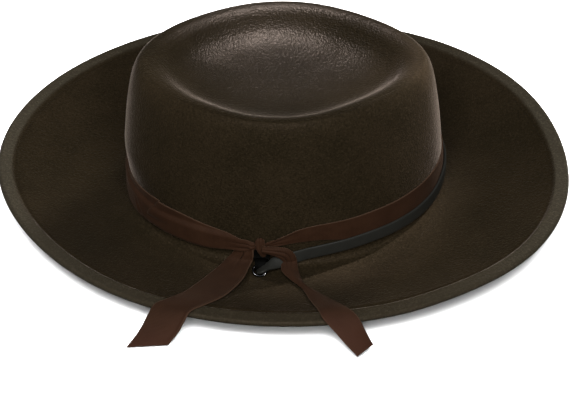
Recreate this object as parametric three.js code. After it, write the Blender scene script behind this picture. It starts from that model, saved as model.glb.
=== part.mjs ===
// Wide brim hat in millimetres, +Z up: felt body, tied ribbon, leather strap and strap ring.
// The hat stands on the underside of its brim. +X is the hat's back, -Y the side with the bow.
import * as THREE from 'three';
import { mergeVertices } from 'three/addons/utils/BufferGeometryUtils.js';

// Sizes that can be set on their own
const crownLength = 204;      // outside, at the foot of the crown
const crownWidth = 174;
const crownHeight = 96.5;     // from the surface it rests on to the top of the rim
const rimInset = 14.5;        // how far the top of the rim lies inside the foot
const moatInset = 37;         // the same for the lowest line inside the rim
const moatDepth = 15;
const domeRise = 4;           // middle of the crown's top above the moat
const feltThickness = 2.2;
const footRadius = 5;
const footRise = 9;           // the foot of the crown is higher at the back by this much
const pinch = 4;              // the ribbon draws the front of the crown in by this much
const restRing = 7;           // flat ring of the brim outside the foot
const brimWidth = 80;
const edgeStripWidth = 10.5;  // folded strip along the brim's edge
const clearance = 0.3;
const ribbonWidth = 22;
const ribbonThickness = 0.8;
const strapWidth = 8;
const strapThickness = 1.8;
const ringDiameter = 8.5;
const ringWire = 1.5;
const ringAngle = 262.4;      // round from the back, degrees
const ringTilt = 36;          // leans on the foot of the crown
const knotWidth = 11;
const knotHeight = 8;
const knotDepth = 6;
const knotAngle = 261.6;
const roundSteps = 64;

// Sizes that follow from those
const footLength = crownLength / 2;
const footWidth = crownWidth / 2;

// Crown from the foot's round to the middle of the top.
// inset is a share of rimInset, height a share of crownHeight.
const crownRows = [
  { inset: 0.02, height: 0.2 },
  { inset: 0.07, height: 0.38 },
  { inset: 0.2, height: 0.6 },
  { inset: 0.36, height: 0.77 },
  { inset: 0.5, height: 0.88 },
  { inset: 0.66, height: 0.95 },
  { inset: 0.84, height: 0.99 },
  { inset: 1.04, height: 1 },
  { inset: 1.28, height: 0.985 },
  { inset: 1.52, height: 0.95 },
  { inset: 1.8, height: 0.905 },
  { inset: 2.12, height: 0.868 },
];

// Inside the moat: share of the moat's oval, share of the dome's rise
const domeRows = [
  { oval: 1, rise: 0 },
  { oval: 0.8, rise: 0.3 },
  { oval: 0.5, rise: 0.8 },
  { oval: 0.2, rise: 1 },
];

// Brim by angle in degrees from the back: width as a share of brimWidth,
// slope of the brim and slope of its edge strip in degrees, up is positive
const brimRows = [
  { angle: 0, width: 0.97, slope: 7, strip: 2 },
  { angle: 30, width: 0.95, slope: 20, strip: 3 },
  { angle: 60, width: 0.96, slope: 28, strip: 4 },
  { angle: 90, width: 1.02, slope: 25, strip: 2 },
  { angle: 120, width: 1.08, slope: 19, strip: 0 },
  { angle: 150, width: 1.08, slope: 15, strip: 2 },
  { angle: 180, width: 1.04, slope: 13, strip: 4 },
  { angle: 210, width: 0.98, slope: 10, strip: 0 },
  { angle: 240, width: 0.94, slope: 9, strip: -6 },
  { angle: 270, width: 0.96, slope: 10, strip: -12 },
  { angle: 300, width: 1, slope: 10, strip: -8 },
  { angle: 330, width: 1.01, slope: 6, strip: -2 },
];

// Ribbon by angle: how far its lower and upper edges are up the felt from the brim,
// as shares of ribbonWidth. It narrows into the knot.
const ribbonRows = [
  { angle: 0, low: 0.4, high: 1.24 },
  { angle: 60, low: 0.3, high: 1.25 },
  { angle: 120, low: 0.25, high: 1.22 },
  { angle: 180, low: 0.22, high: 1.22 },
  { angle: 203, low: 0.24, high: 1.24 },
  { angle: 225, low: 0.37, high: 1.3 },
  { angle: 240, low: 0.42, high: 1.14 },
  { angle: 251, low: 0.51, high: 0.98 },
  { angle: 258, low: 0.54, high: 0.86 },
  { angle: 264, low: 0.6, high: 0.84 },
  { angle: 269, low: 0.7, high: 0.96 },
  { angle: 276, low: 0.79, high: 1.22 },
  { angle: 285, low: 0.76, high: 1.36 },
  { angle: 301, low: 0.45, high: 1.4 },
  { angle: 315, low: 0.3, high: 1.34 },
  { angle: 335, low: 0.32, high: 1.26 },
];

// Strap from the ring round the back to the knot: its middle up the felt as a share of
// strapWidth; over is 1 outside the ribbon and 0 on the felt, under is 1 beneath the ribbon
const strapRows = [
  { angle: -95, middle: 0.44, over: 0, under: 0 },
  { angle: -90, middle: 0.66, over: 0, under: 0 },
  { angle: -84, middle: 0.95, over: 0.1, under: 0 },
  { angle: -72, middle: 1.5, over: 1, under: 0 },
  { angle: -60, middle: 1.6, over: 1, under: 0 },
  { angle: -34, middle: 1.35, over: 1, under: 0 },
  { angle: -10, middle: 1.9, over: 1, under: 0 },
  { angle: 30, middle: 2.2, over: 1, under: 0 },
  { angle: 90, middle: 2.5, over: 1, under: 0 },
  { angle: 112, middle: 3.2, over: 1, under: 0 },
  { angle: 128, middle: 4.2, over: 1, under: 0 },
  { angle: 146, middle: 4.2, over: 0, under: 0 },
  { angle: 154, middle: 3.9, over: 0, under: 1 },
  { angle: 175, middle: 2.2, over: 0, under: 1 },
  { angle: 200, middle: 1.9, over: 0, under: 1 },
  { angle: 240, middle: 1.95, over: 0, under: 1 },
  { angle: 250, middle: 1.95, over: 0, under: 1 },
];

// Free ends of the ribbon from the knot: angle of each side and how far it is up the felt
// as a share of brimWidth, downwards over the brim being negative; lift as a share of
// ribbonThickness; hang is the height above the table once past the brim's edge, a share of footRise
const tailLeftRows = [
  { angleA: 253.4, upA: 0.12, angleB: 257.2, upB: 0.085, lift: 1.2 },
  { angleA: 251.6, upA: 0.09, angleB: 258.2, upB: 0.03, lift: 1.6 },
  { angleA: 250, upA: 0, angleB: 258.9, upB: -0.05, lift: 1.6 },
  { angleA: 249, upA: -0.1, angleB: 258.6, upB: -0.17, lift: 0.9 },
  { angleA: 248.2, upA: -0.25, angleB: 258, upB: -0.31, lift: 0.7 },
  { angleA: 247.6, upA: -0.42, angleB: 257, upB: -0.46, lift: 0.7 },
  { angleA: 246.9, upA: -0.6, angleB: 255.9, upB: -0.6, lift: 0.7 },
  { angleA: 245.6, upA: -0.76, angleB: 253.7, upB: -0.74, lift: 0.7 },
  { angleA: 244.4, upA: -0.86, angleB: 252, upB: -0.86, lift: 0.9 },
  { angleA: 244.2, upA: -0.95, angleB: 251.4, upB: -0.93, hang: 1.2 },
  { angleA: 243.8, upA: -1.08, angleB: 250.5, upB: -1, hang: 0.5 },
  { angleA: 243.3, upA: -1.22, angleB: 249.5, upB: -1.08, hang: 0.05 },
];
const tailRightRows = [
  { angleA: 266.4, upA: 0.125, angleB: 267.4, upB: 0.17, lift: 4 },
  { angleA: 268.4, upA: 0.1, angleB: 270.9, upB: 0.17, lift: 4.6 },
  { angleA: 269.6, upA: 0.06, angleB: 273.6, upB: 0.12, lift: 4.6 },
  { angleA: 269.7, upA: -0.02, angleB: 274.6, upB: 0.04, lift: 4 },
  { angleA: 270.4, upA: -0.11, angleB: 274.9, upB: -0.1, lift: 1.6 },
  { angleA: 272.9, upA: -0.22, angleB: 275.4, upB: -0.23, lift: 1 },
  { angleA: 275, upA: -0.34, angleB: 277, upB: -0.33, lift: 0.8 },
  { angleA: 275.6, upA: -0.42, angleB: 279.6, upB: -0.43, lift: 0.7 },
  { angleA: 276.2, upA: -0.6, angleB: 281.6, upB: -0.6, lift: 0.7 },
  { angleA: 277, upA: -0.78, angleB: 283.2, upB: -0.78, lift: 0.7 },
  { angleA: 277.6, upA: -0.88, angleB: 284, upB: -0.88, lift: 0.9 },
  { angleA: 279.2, upA: -0.97, angleB: 284.8, upB: -0.96, hang: 1.25 },
  { angleA: 281, upA: -1.07, angleB: 285.4, upB: -1, hang: 0.7 },
  { angleA: 282.5, upA: -1.16, angleB: 286, upB: -1.05, hang: 0.25 },
];

const radians = THREE.MathUtils.degToRad;
const lerp = THREE.MathUtils.lerp;
const smooth = (x, low, high) => THREE.MathUtils.smoothstep(x, low, high);

// Value of a table at an angle, on a smooth curve through its rows; closed tables go round
function around(rows, key, angle, closed = true) {
  const count = rows.length;
  const at = (index) => {
    const turns = closed ? Math.floor(index / count) : 0;
    const row = rows[closed ? index - turns * count : THREE.MathUtils.clamp(index, 0, count - 1)];
    return [row.angle + 360 * turns, row[key]];
  };
  let degrees = THREE.MathUtils.radToDeg(angle);
  if (closed) degrees = ((degrees - rows[0].angle) % 360 + 360) % 360 + rows[0].angle;
  let index = 0;
  while (index < count - 1 && rows[index + 1].angle <= degrees) index++;
  if (!closed) index = Math.min(index, count - 2);
  const [[a0, v0], [a1, v1], [a2, v2], [a3, v3]] = [-1, 0, 1, 2].map((step) => at(index + step));
  const gap = a2 - a1;
  const part = THREE.MathUtils.clamp((degrees - a1) / gap, 0, 1);
  const startSlope = (v2 - v0) / Math.max(gap, a2 - a0) * gap;
  const endSlope = (v3 - v1) / Math.max(gap, a3 - a1) * gap;
  const square = part * part;
  const cube = square * part;
  const ends = v1 * (2 * cube - 3 * square + 1) + v2 * (3 * square - 2 * cube);
  return ends + startSlope * (cube - 2 * square + part) + endSlope * (cube - square);
}

// Point at an angle, a distance out from the foot's oval, at a height
function place(angle, out, height) {
  return new THREE.Vector3((footLength + out) * Math.cos(angle), (footWidth + out) * Math.sin(angle), height);
}

// Height of the foot of the crown, over the brim's upper face
function footHeight(angle) {
  const back = Math.max(0, (Math.cos(angle) - 0.35) / 0.65);
  return feltThickness + footRise * Math.pow(back, 1.5);
}

// How far the ribbon draws the wall in, at the front end only
function pinchAt(angle, height) {
  const front = Math.pow(Math.max(0, -Math.cos(angle)), 4);
  return pinch * front * (1 - smooth(height, ribbonWidth * 0.7, ribbonWidth * 2));
}

// Outside of the crown's wall as a distance out from the foot's oval
function wallOut(angle, height) {
  const share = height / crownHeight;
  const above = Math.max(1, crownRows.findIndex((row) => row.height >= share));
  const [low, high] = [crownRows[above - 1], crownRows[above]];
  const part = THREE.MathUtils.clamp((share - low.height) / (high.height - low.height), 0, 1);
  return -rimInset * lerp(low.inset, high.inset, part) - pinchAt(angle, height);
}

// Upper face of the brim: height at a distance out from the foot's oval
function brimTop(angle, out) {
  const width = brimWidth * around(brimRows, 'width', angle);
  const slope = radians(around(brimRows, 'slope', angle));
  const strip = radians(around(brimRows, 'strip', angle));
  const run = (width - edgeStripWidth) * Math.cos(slope);
  const rise = (width - edgeStripWidth) * Math.sin(slope);
  const start = footRadius + restRing;
  const part = THREE.MathUtils.clamp((out - start) / (run - start), 0, 1);
  const past = Math.max(0, out - run);
  return footHeight(angle) + rise * Math.pow(part, 1.3) + past * Math.tan(strip);
}

function brimRun(angle) {
  const width = brimWidth * around(brimRows, 'width', angle);
  return (width - edgeStripWidth) * Math.cos(radians(around(brimRows, 'slope', angle)));
}

function brimReach(angle) {
  return brimRun(angle) + edgeStripWidth * Math.cos(radians(around(brimRows, 'strip', angle)));
}

// Upper face of the felt at an angle, from the middle of the top to the brim's edge.
// Each point: shares of the moat's oval or a distance out, height, and felt thickness there.
function feltLine(angle) {
  const line = [];
  const moat = crownHeight - moatDepth;
  for (const row of [...domeRows].reverse()) {
    const length = (footLength - moatInset) * row.oval;
    const width = (footWidth - moatInset) * row.oval;
    line.push({ length, width, height: moat + domeRise * row.rise, thick: feltThickness });
  }
  const add = (out, height, thick = feltThickness) => {
    line.push({ length: footLength + out, width: footWidth + out, height, thick });
  };
  for (const row of [...crownRows].reverse()) {
    const height = row.height * crownHeight;
    add(-rimInset * row.inset - pinchAt(angle, height), height);
  }
  const foot = footHeight(angle);
  for (const turn of [0, 30, 60, 90]) {
    const out = footRadius * (1 - Math.cos(radians(turn))) - pinchAt(angle, 0) * Math.cos(radians(turn));
    add(out, foot + footRadius * (1 - Math.sin(radians(turn))));
  }
  const run = brimRun(angle);
  const reach = brimReach(angle);
  const start = footRadius + restRing;
  for (const part of [0, 0.2, 0.4, 0.6, 0.8]) {
    const out = lerp(start, run, part);
    add(out, brimTop(angle, out));
  }
  add(run - 0.6, brimTop(angle, run - 0.6));
  add(run, brimTop(angle, run) + feltThickness * 0.85, feltThickness * 1.85);
  add(lerp(run, reach, 0.5), brimTop(angle, lerp(run, reach, 0.5)) + feltThickness, feltThickness * 2);
  add(reach - feltThickness * 0.6, brimTop(angle, reach) + feltThickness, feltThickness * 2);
  add(reach, brimTop(angle, reach) + feltThickness * 0.4, feltThickness);
  return line;
}

// Point on the felt's outer face at an angle: up is how far it is up the felt from the foot's
// round, negative over the brim; lift is the distance off the felt
function feltPoint(angle, up, lift) {
  const foot = footHeight(angle);
  const arc = footRadius * Math.PI / 2;
  if (up < 0) {
    const out = footRadius - up;
    const strip = out > brimRun(angle) - 1 ? feltThickness : 0;
    return place(angle, out, brimTop(angle, out) + strip + lift);
  }
  if (up < arc) {
    const turn = Math.PI / 2 - up / footRadius;
    const reach = footRadius - lift;
    const out = footRadius - reach * Math.cos(turn) - pinchAt(angle, foot) * Math.cos(turn);
    return place(angle, out, foot + footRadius - reach * Math.sin(turn));
  }
  const height = foot + footRadius + up - arc;
  return place(angle, wallOut(angle, height) + lift, height);
}

// Closed body from loops of points: each loop joined to the next, ends closed or joined up
function skin(loops, joined = false) {
  const size = loops[0].length;
  const points = loops.flat().flatMap((point) => [point.x, point.y, point.z]);
  const faces = [];
  const last = joined ? loops.length : loops.length - 1;
  for (let i = 0; i < last; i++) {
    for (let j = 0; j < size; j++) {
      const [a, b] = [i * size + j, i * size + (j + 1) % size];
      const [c, d] = [a, b].map((index) => (index + size) % (loops.length * size));
      faces.push(a, b, c, b, d, c);
    }
  }
  if (!joined) {
    for (const end of [0, loops.length - 1]) {
      const middle = loops[end].reduce((sum, point) => sum.add(point), new THREE.Vector3()).divideScalar(size);
      const centre = points.length / 3;
      points.push(middle.x, middle.y, middle.z);
      for (let j = 0; j < size; j++) {
        const pair = [end * size + j, end * size + (j + 1) % size];
        if (end > 0) pair.reverse();
        faces.push(centre, pair[1], pair[0]);
      }
    }
  }
  const corner = (index) => new THREE.Vector3(...points.slice(index * 3, index * 3 + 3));
  let volume = 0;
  for (let i = 0; i < faces.length; i += 3) {
    const [a, b, c] = [0, 1, 2].map((k) => corner(faces[i + k]));
    volume += a.dot(b.cross(c));
  }
  if (volume < 0) faces.reverse();
  const geometry = new THREE.BufferGeometry();
  geometry.setAttribute('position', new THREE.Float32BufferAttribute(points, 3));
  geometry.setIndex(faces);
  geometry.computeVertexNormals();
  return geometry;
}

const angles = Array.from({ length: roundSteps }, (_, step) => 2 * Math.PI * step / roundSteps);

// Felt: the upper face, then the lower face one thickness inside it
function feltBody() {
  const lines = angles.map((angle) => {
    const upper = feltLine(angle);
    const lower = upper.map((point, i) => {
      const [before, after] = [upper[Math.max(0, i - 1)], upper[Math.min(upper.length - 1, i + 1)]];
      const along = new THREE.Vector2(after.length - before.length, after.height - before.height).normalize();
      const flat = i === 0 || Math.abs(after.height - before.height) < 1e-6;
      const [out, up] = flat ? [0, 1] : [-along.y, along.x];
      let height = point.height - up * point.thick;
      if (height < 0.2) height = 0;
      return { length: point.length - out * point.thick, width: point.width - out * point.thick, height };
    });
    return [...upper, ...lower.reverse()];
  });
  const loops = lines[0].map((_, row) => lines.map((line, step) => {
    const point = line[row];
    return new THREE.Vector3(point.length * Math.cos(angles[step]), point.width * Math.sin(angles[step]), point.height);
  }));
  return skin(loops);
}

// How far the strap beneath it lifts the ribbon off the felt
function strapPush(angle, up) {
  const turn = angle > radians(262) ? angle - 2 * Math.PI : angle;
  const under = smooth(around(strapRows, 'under', turn, false), 0, 0.4);
  const middle = strapWidth * around(strapRows, 'middle', turn, false);
  const end = 1 - smooth(angle, radians(254), radians(262));
  const near = 1 - smooth(Math.abs(up - middle), strapWidth * 1.05, strapWidth * 1.5);
  return (strapThickness + clearance) * under * near * (angle > Math.PI ? end : 1);
}

function ribbonBand() {
  const levels = [0, 0.2, 0.4, 0.6, 0.8, 1];
  const loops = angles.map((angle) => {
    const low = ribbonWidth * around(ribbonRows, 'low', angle);
    const high = ribbonWidth * around(ribbonRows, 'high', angle);
    const side = (lift) => levels.map((level) => {
      const up = lerp(low, high, level);
      return feltPoint(angle, up, clearance + strapPush(angle, up) + lift);
    });
    return [...side(0), ...side(ribbonThickness).reverse()];
  });
  return skin(loops, true);
}

function leatherStrap() {
  const [first, last] = [strapRows[0], strapRows[strapRows.length - 1]].map((row) => radians(row.angle));
  const turns = [...angles.map((angle) => angle - 2 * Math.PI), ...angles];
  const inside = turns.filter((angle) => angle > first + 0.02 && angle < last - 0.02);
  const loops = [];
  for (const angle of [first, ...inside, last]) {
    const middle = strapWidth * around(strapRows, 'middle', angle, false);
    const over = THREE.MathUtils.clamp(around(strapRows, 'over', angle, false), 0, 1);
    const lift = clearance + over * (ribbonThickness + clearance);
    const [low, high] = [middle - strapWidth / 2, middle + strapWidth / 2];
    loops.push([
      feltPoint(angle, low, lift),
      feltPoint(angle, middle, lift),
      feltPoint(angle, high, lift),
      feltPoint(angle, high, lift + strapThickness),
      feltPoint(angle, middle, lift + strapThickness),
      feltPoint(angle, low, lift + strapThickness),
    ]);
  }
  return skin(loops);
}

function ribbonTail(rows) {
  const edge = (row, side) => {
    const angle = radians(row['angle' + side]);
    const up = brimWidth * row['up' + side];
    if (row.hang === undefined) return feltPoint(angle, up, clearance + ribbonThickness * row.lift);
    return place(angle, footRadius - up, clearance + footRise * row.hang);
  };
  const lines = ['A', 'B'].map((side) => new THREE.CatmullRomCurve3(rows.map((row) => edge(row, side))));
  const loops = [];
  const steps = (rows.length - 1) * 2;
  for (let step = 0; step <= steps; step++) {
    const part = step / steps;
    const [a, b] = lines.map((line) => line.getPoint(part));
    const along = lines[0].getTangent(part).add(lines[1].getTangent(part));
    const face = along.cross(b.clone().sub(a)).normalize();
    if (face.z < 0) face.negate();
    const across = [0, 0.5, 1].map((share) => a.clone().lerp(b, share));
    const top = across.map((point) => point.clone().addScaledVector(face, ribbonThickness));
    loops.push([...across, ...top.reverse()]);
  }
  return skin(loops);
}

// Knot: a small rounded bundle with two soft creases
function ribbonKnot() {
  const geometry = new THREE.SphereGeometry(1, 18, 12);
  const corners = geometry.getAttribute('position');
  for (let i = 0; i < corners.count; i++) {
    const point = new THREE.Vector3().fromBufferAttribute(corners, i);
    const crease = 1 - 0.12 * Math.exp(-Math.pow((point.x + 0.25 * point.z - 0.2) * 5, 2));
    corners.setXYZ(i, point.x * knotWidth / 2, point.y * knotDepth / 2 * crease, point.z * knotHeight / 2 * crease);
  }
  geometry.deleteAttribute('uv');
  geometry.deleteAttribute('normal');
  return mergeVertices(geometry, 1e-4);
}

const colours = { felt: 0x2f2721, ribbon: 0x42271f, leather: 0x2b2a28, metal: 0x26262a };

function piece(name, geometry, colour, roughness, metalness = 0) {
  const material = new THREE.MeshStandardMaterial({ color: colour, roughness, metalness });
  const mesh = new THREE.Mesh(geometry, material);
  mesh.name = name;
  return mesh;
}

const knot = piece('ribbon_knot', ribbonKnot(), colours.ribbon, 0.7);
const knotUp = ribbonWidth * 0.62;
knot.position.copy(feltPoint(radians(knotAngle), knotUp, ribbonThickness + clearance * 3 + knotDepth / 2));

const ring = piece('strap_ring', new THREE.TorusGeometry((ringDiameter - ringWire) / 2, ringWire / 2, 8, 24),
  colours.metal, 0.3, 0.9);
ring.position.copy(feltPoint(radians(ringAngle), -ringDiameter * 0.45, ringDiameter * 0.42));
ring.rotation.x = radians(ringTilt);

const hat = new THREE.Group();
hat.name = 'hat';
hat.add(piece('felt_body', feltBody(), colours.felt, 0.95));
hat.add(piece('ribbon_band', ribbonBand(), colours.ribbon, 0.7));
hat.add(piece('ribbon_tail_left', ribbonTail(tailLeftRows), colours.ribbon, 0.7));
hat.add(piece('ribbon_tail_right', ribbonTail(tailRightRows), colours.ribbon, 0.7));
hat.add(piece('leather_strap', leatherStrap(), colours.leather, 0.55));
hat.add(knot, ring);

// The middle of the whole hat's box stands over the origin
const middle = new THREE.Box3().setFromObject(hat).getCenter(new THREE.Vector3());
hat.position.set(-middle.x, -middle.y, 0);

export default hat;
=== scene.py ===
import math
import bmesh
import bpy
import numpy as np
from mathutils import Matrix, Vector


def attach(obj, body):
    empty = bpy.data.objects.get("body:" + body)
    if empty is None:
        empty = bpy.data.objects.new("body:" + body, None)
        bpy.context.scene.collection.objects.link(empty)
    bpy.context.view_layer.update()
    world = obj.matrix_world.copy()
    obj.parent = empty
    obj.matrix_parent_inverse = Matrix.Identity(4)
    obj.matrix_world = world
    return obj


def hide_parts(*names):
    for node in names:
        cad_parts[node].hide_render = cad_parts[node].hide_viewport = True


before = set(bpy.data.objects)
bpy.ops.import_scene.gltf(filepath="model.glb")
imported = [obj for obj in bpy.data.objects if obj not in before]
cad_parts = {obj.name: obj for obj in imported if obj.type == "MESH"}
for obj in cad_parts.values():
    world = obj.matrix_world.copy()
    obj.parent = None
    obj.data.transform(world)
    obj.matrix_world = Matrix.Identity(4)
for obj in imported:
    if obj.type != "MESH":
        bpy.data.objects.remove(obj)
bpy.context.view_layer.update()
print("hat: frame loaded, nodes", sorted(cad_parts))

# All lengths are metres. +X is the back of the hat, -Y the side with the bow.
mm = 0.001
hatMiddle = np.array([2.109, 9.085, 0.0]) * mm   # the crown's centre in the frame


# camera

cameraSizes = {
    "distance": 1.5,        # from the crown's centre on the floor
    "elevation": 34.0,
    "pictureWidth": 569,    # this and the next three are in the picture's pixels
    "focal": 2320,
    "right": 1.5,           # how far the picture's middle lies from the crown's centre
    "below": 19.5,
    "sensor": 36,
}


def makeCamera(sizes):
    # looks from the near side, down at the elevation, past the crown's centre by the two offsets
    tilt = math.radians(sizes["elevation"])
    ahead = Vector((0, math.cos(tilt), -math.sin(tilt)))
    up = Vector((0, math.sin(tilt), math.cos(tilt)))
    look = ahead + (Vector((sizes["right"], 0, 0)) - up * sizes["below"]) / sizes["focal"]
    data = bpy.data.cameras.new("camera")
    data.sensor_width = sizes["sensor"]
    data.lens = sizes["sensor"] * sizes["focal"] / sizes["pictureWidth"]
    data.clip_start = 0.05
    camera = bpy.data.objects.new("camera", data)
    camera.location = Vector(hatMiddle) - ahead * sizes["distance"]
    camera.rotation_mode = "QUATERNION"
    camera.rotation_quaternion = look.to_track_quat("-Z", "Y")
    bpy.context.scene.collection.objects.link(camera)
    bpy.context.scene.camera = camera


makeCamera(cameraSizes)
print("hat: camera")


# shader nodes as expressions

class Wire:
    # one socket; sums and products of wires and numbers add Math nodes
    def __init__(self, finish, socket):
        self.finish = finish
        self.socket = socket

    def maths(self, operation, first, second):
        return self.finish.add("ShaderNodeMath", {"operation": operation}, {0: first, 1: second})

    def __add__(self, other):
        return self.maths("ADD", self, other)

    def __radd__(self, other):
        return self.maths("ADD", other, self)

    def __sub__(self, other):
        return self.maths("SUBTRACT", self, other)

    def __rsub__(self, other):
        return self.maths("SUBTRACT", other, self)

    def __mul__(self, other):
        return self.maths("MULTIPLY", self, other)

    def __rmul__(self, other):
        return self.maths("MULTIPLY", other, self)


class Finish:
    # a material: add() makes any node from its type, settings and socket values
    def __init__(self, name):
        self.material = bpy.data.materials.new(name)
        self.material.use_nodes = True
        self.tree = self.material.node_tree
        self.tree.nodes.clear()
        self.surface = self.tree.nodes.new("ShaderNodeBsdfPrincipled")
        output = self.tree.nodes.new("ShaderNodeOutputMaterial")
        self.tree.links.new(self.surface.outputs[0], output.inputs["Surface"])

    def put(self, socket, value):
        if isinstance(value, Wire):
            self.tree.links.new(value.socket, socket)
        else:
            socket.default_value = value

    def add(self, kind, settings=None, values=None, output=0):
        node = self.tree.nodes.new(kind)
        for key, value in (settings or {}).items():
            setattr(node, key, value)
        for key, value in (values or {}).items():
            self.put(node.inputs[key], value)
        return Wire(self, node.outputs[output])

    def place(self, stretch=(1, 1, 1), turn=(0, 0, 0)):
        # where a point lies on the piece
        spot = self.add("ShaderNodeTexCoord", output="Object")
        return self.add("ShaderNodeMapping", None, {"Vector": spot, "Scale": stretch, "Rotation": turn})

    def flat(self, stretch=(1, 1, 1)):
        # where a point lies on the cloth as it was cut
        spot = self.add("ShaderNodeUVMap", {"uv_map": "cut"})
        return self.add("ShaderNodeMapping", None, {"Vector": spot, "Scale": stretch})

    def noise(self, spot, scale, detail=3, rough=0.55):
        return self.add("ShaderNodeTexNoise", None,
                        {"Vector": spot, "Scale": scale, "Detail": detail, "Roughness": rough})

    def ramp(self, wire, low, high):
        return self.add("ShaderNodeMapRange", {"interpolation_type": "SMOOTHSTEP"},
                        {"Value": wire, "From Min": low, "From Max": high})

    def mix(self, share, first, second):
        node = self.tree.nodes.new("ShaderNodeMix")
        node.data_type = "RGBA"
        self.put(node.inputs[0], share)
        self.put(node.inputs[6], first)
        self.put(node.inputs[7], second)
        return Wire(self, node.outputs[2])

    def bump(self, height, distance, strength=1.0, under=None):
        values = {"Height": height, "Distance": distance, "Strength": strength}
        if under is not None:
            values["Normal"] = under
        return self.add("ShaderNodeBump", None, values)

    def shade(self, **values):
        for key, value in values.items():
            self.put(self.surface.inputs[key.replace("_", " ")], value)
        return self.material


def rowsOf(keys, rows):
    # a table's rows, each as a dictionary
    return [dict(zip(keys.split(), row)) for row in rows]


def rgb(red, green, blue):
    return (red, green, blue, 1.0)


# the pale strip colour is painted light on top of the brim's folded strip
woolColours = {
    "dark": rgb(0.0175, 0.0128, 0.0066), "brown": rgb(0.0235, 0.0166, 0.0088),
    "hair": rgb(0.046, 0.033, 0.019), "pit": rgb(0.006, 0.0045, 0.0025), "paintedStripLight": rgb(0.090, 0.078, 0.056),
    "gloss": rgb(1.0, 0.74, 0.60), "sheen": rgb(0.95, 0.78, 0.66),
}
woolNap = {
    "cloudScale": 28, "speckleScale": 1000, "hairScale": 620, "crossScale": 560, "napScale": 430,
    "hairShare": 0.42, "pitShare": 0.45, "hairHeight": 0.00050, "napHeight": 0.00045,
    "roughness": 0.36, "sheen": 0.34, "sheenRoughness": 0.2,
}


def feltFinish(colours, nap):
    # matted wool: two crossing sets of short hairs over a cloudy dark brown, a fine nap in the bump, and
    # painted light on top of the folded strip
    wool = Finish("wool_felt")
    spot = wool.place()
    cloud = wool.noise(spot, nap["cloudScale"], 4)
    speckle = wool.noise(spot, nap["speckleScale"], 1, 0.5)
    hairs = wool.noise(wool.place((1, 1, 2.2), (0.5, 0.3, 0)), nap["hairScale"], 2, 0.6)
    crossHairs = wool.noise(wool.place((2.4, 1, 1), (0.2, 0.9, 0.4)), nap["crossScale"], 2, 0.6)
    light = wool.ramp(hairs * 0.6 + crossHairs * 0.4, 0.48, 0.62)
    pits = wool.ramp(speckle, 0.50, 0.64)
    pale = wool.add("ShaderNodeAttribute", {"attribute_name": "pale"}, None, "Fac")   # painted light on top of the folded strip
    colour = wool.mix(wool.ramp(cloud, 0.32, 0.68), colours["dark"], colours["brown"])
    colour = wool.mix(light * nap["hairShare"], colour, colours["hair"])
    colour = wool.mix(pits * nap["pitShare"], colour, colours["pit"])
    # painted light: the strip's top is painted paler, most at the hat's two ends
    colour = wool.mix(pale * (0.45 + light * 0.3), colour, colours["paintedStripLight"])
    ridge = wool.bump(speckle + hairs * 0.8 + crossHairs * 0.6, nap["hairHeight"], 0.5)
    ridge = wool.bump(wool.noise(spot, nap["napScale"], 2, 0.6), nap["napHeight"], 0.5, ridge)
    return wool.shade(Base_Color=colour, Roughness=nap["roughness"] - light * 0.05, Normal=ridge,
                      Specular_IOR_Level=0.1, Specular_Tint=colours["gloss"], Sheen_Weight=nap["sheen"],
                      Sheen_Roughness=nap["sheenRoughness"], Sheen_Tint=colours["sheen"])


# the paler, pinker colour for the ends at the near side is painted light
ribbonColours = {
    "dark": rgb(0.0265, 0.0116, 0.0058), "brown": rgb(0.035, 0.0156, 0.0080),
    "rib": rgb(0.048, 0.0235, 0.0135), "thread": rgb(0.068, 0.031, 0.018),
    "edge": rgb(0.150, 0.095, 0.062), "paintedNearLight": rgb(0.078, 0.031, 0.020), "sheen": rgb(0.9, 0.66, 0.5),
}
ribbonWeave = {
    "pitch": 0.00085, "edgeFrom": 0.0008, "edgeTo": 0.0003, "fadeFrom": 0.140, "fadeTo": 0.165,
    "ribShare": 0.25, "threadShare": 0.4, "paintedNearLightShare": 0.45, "ribHeight": 0.00018, "threadHeight": 0.00010,
    "roughness": 0.72,
}


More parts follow.
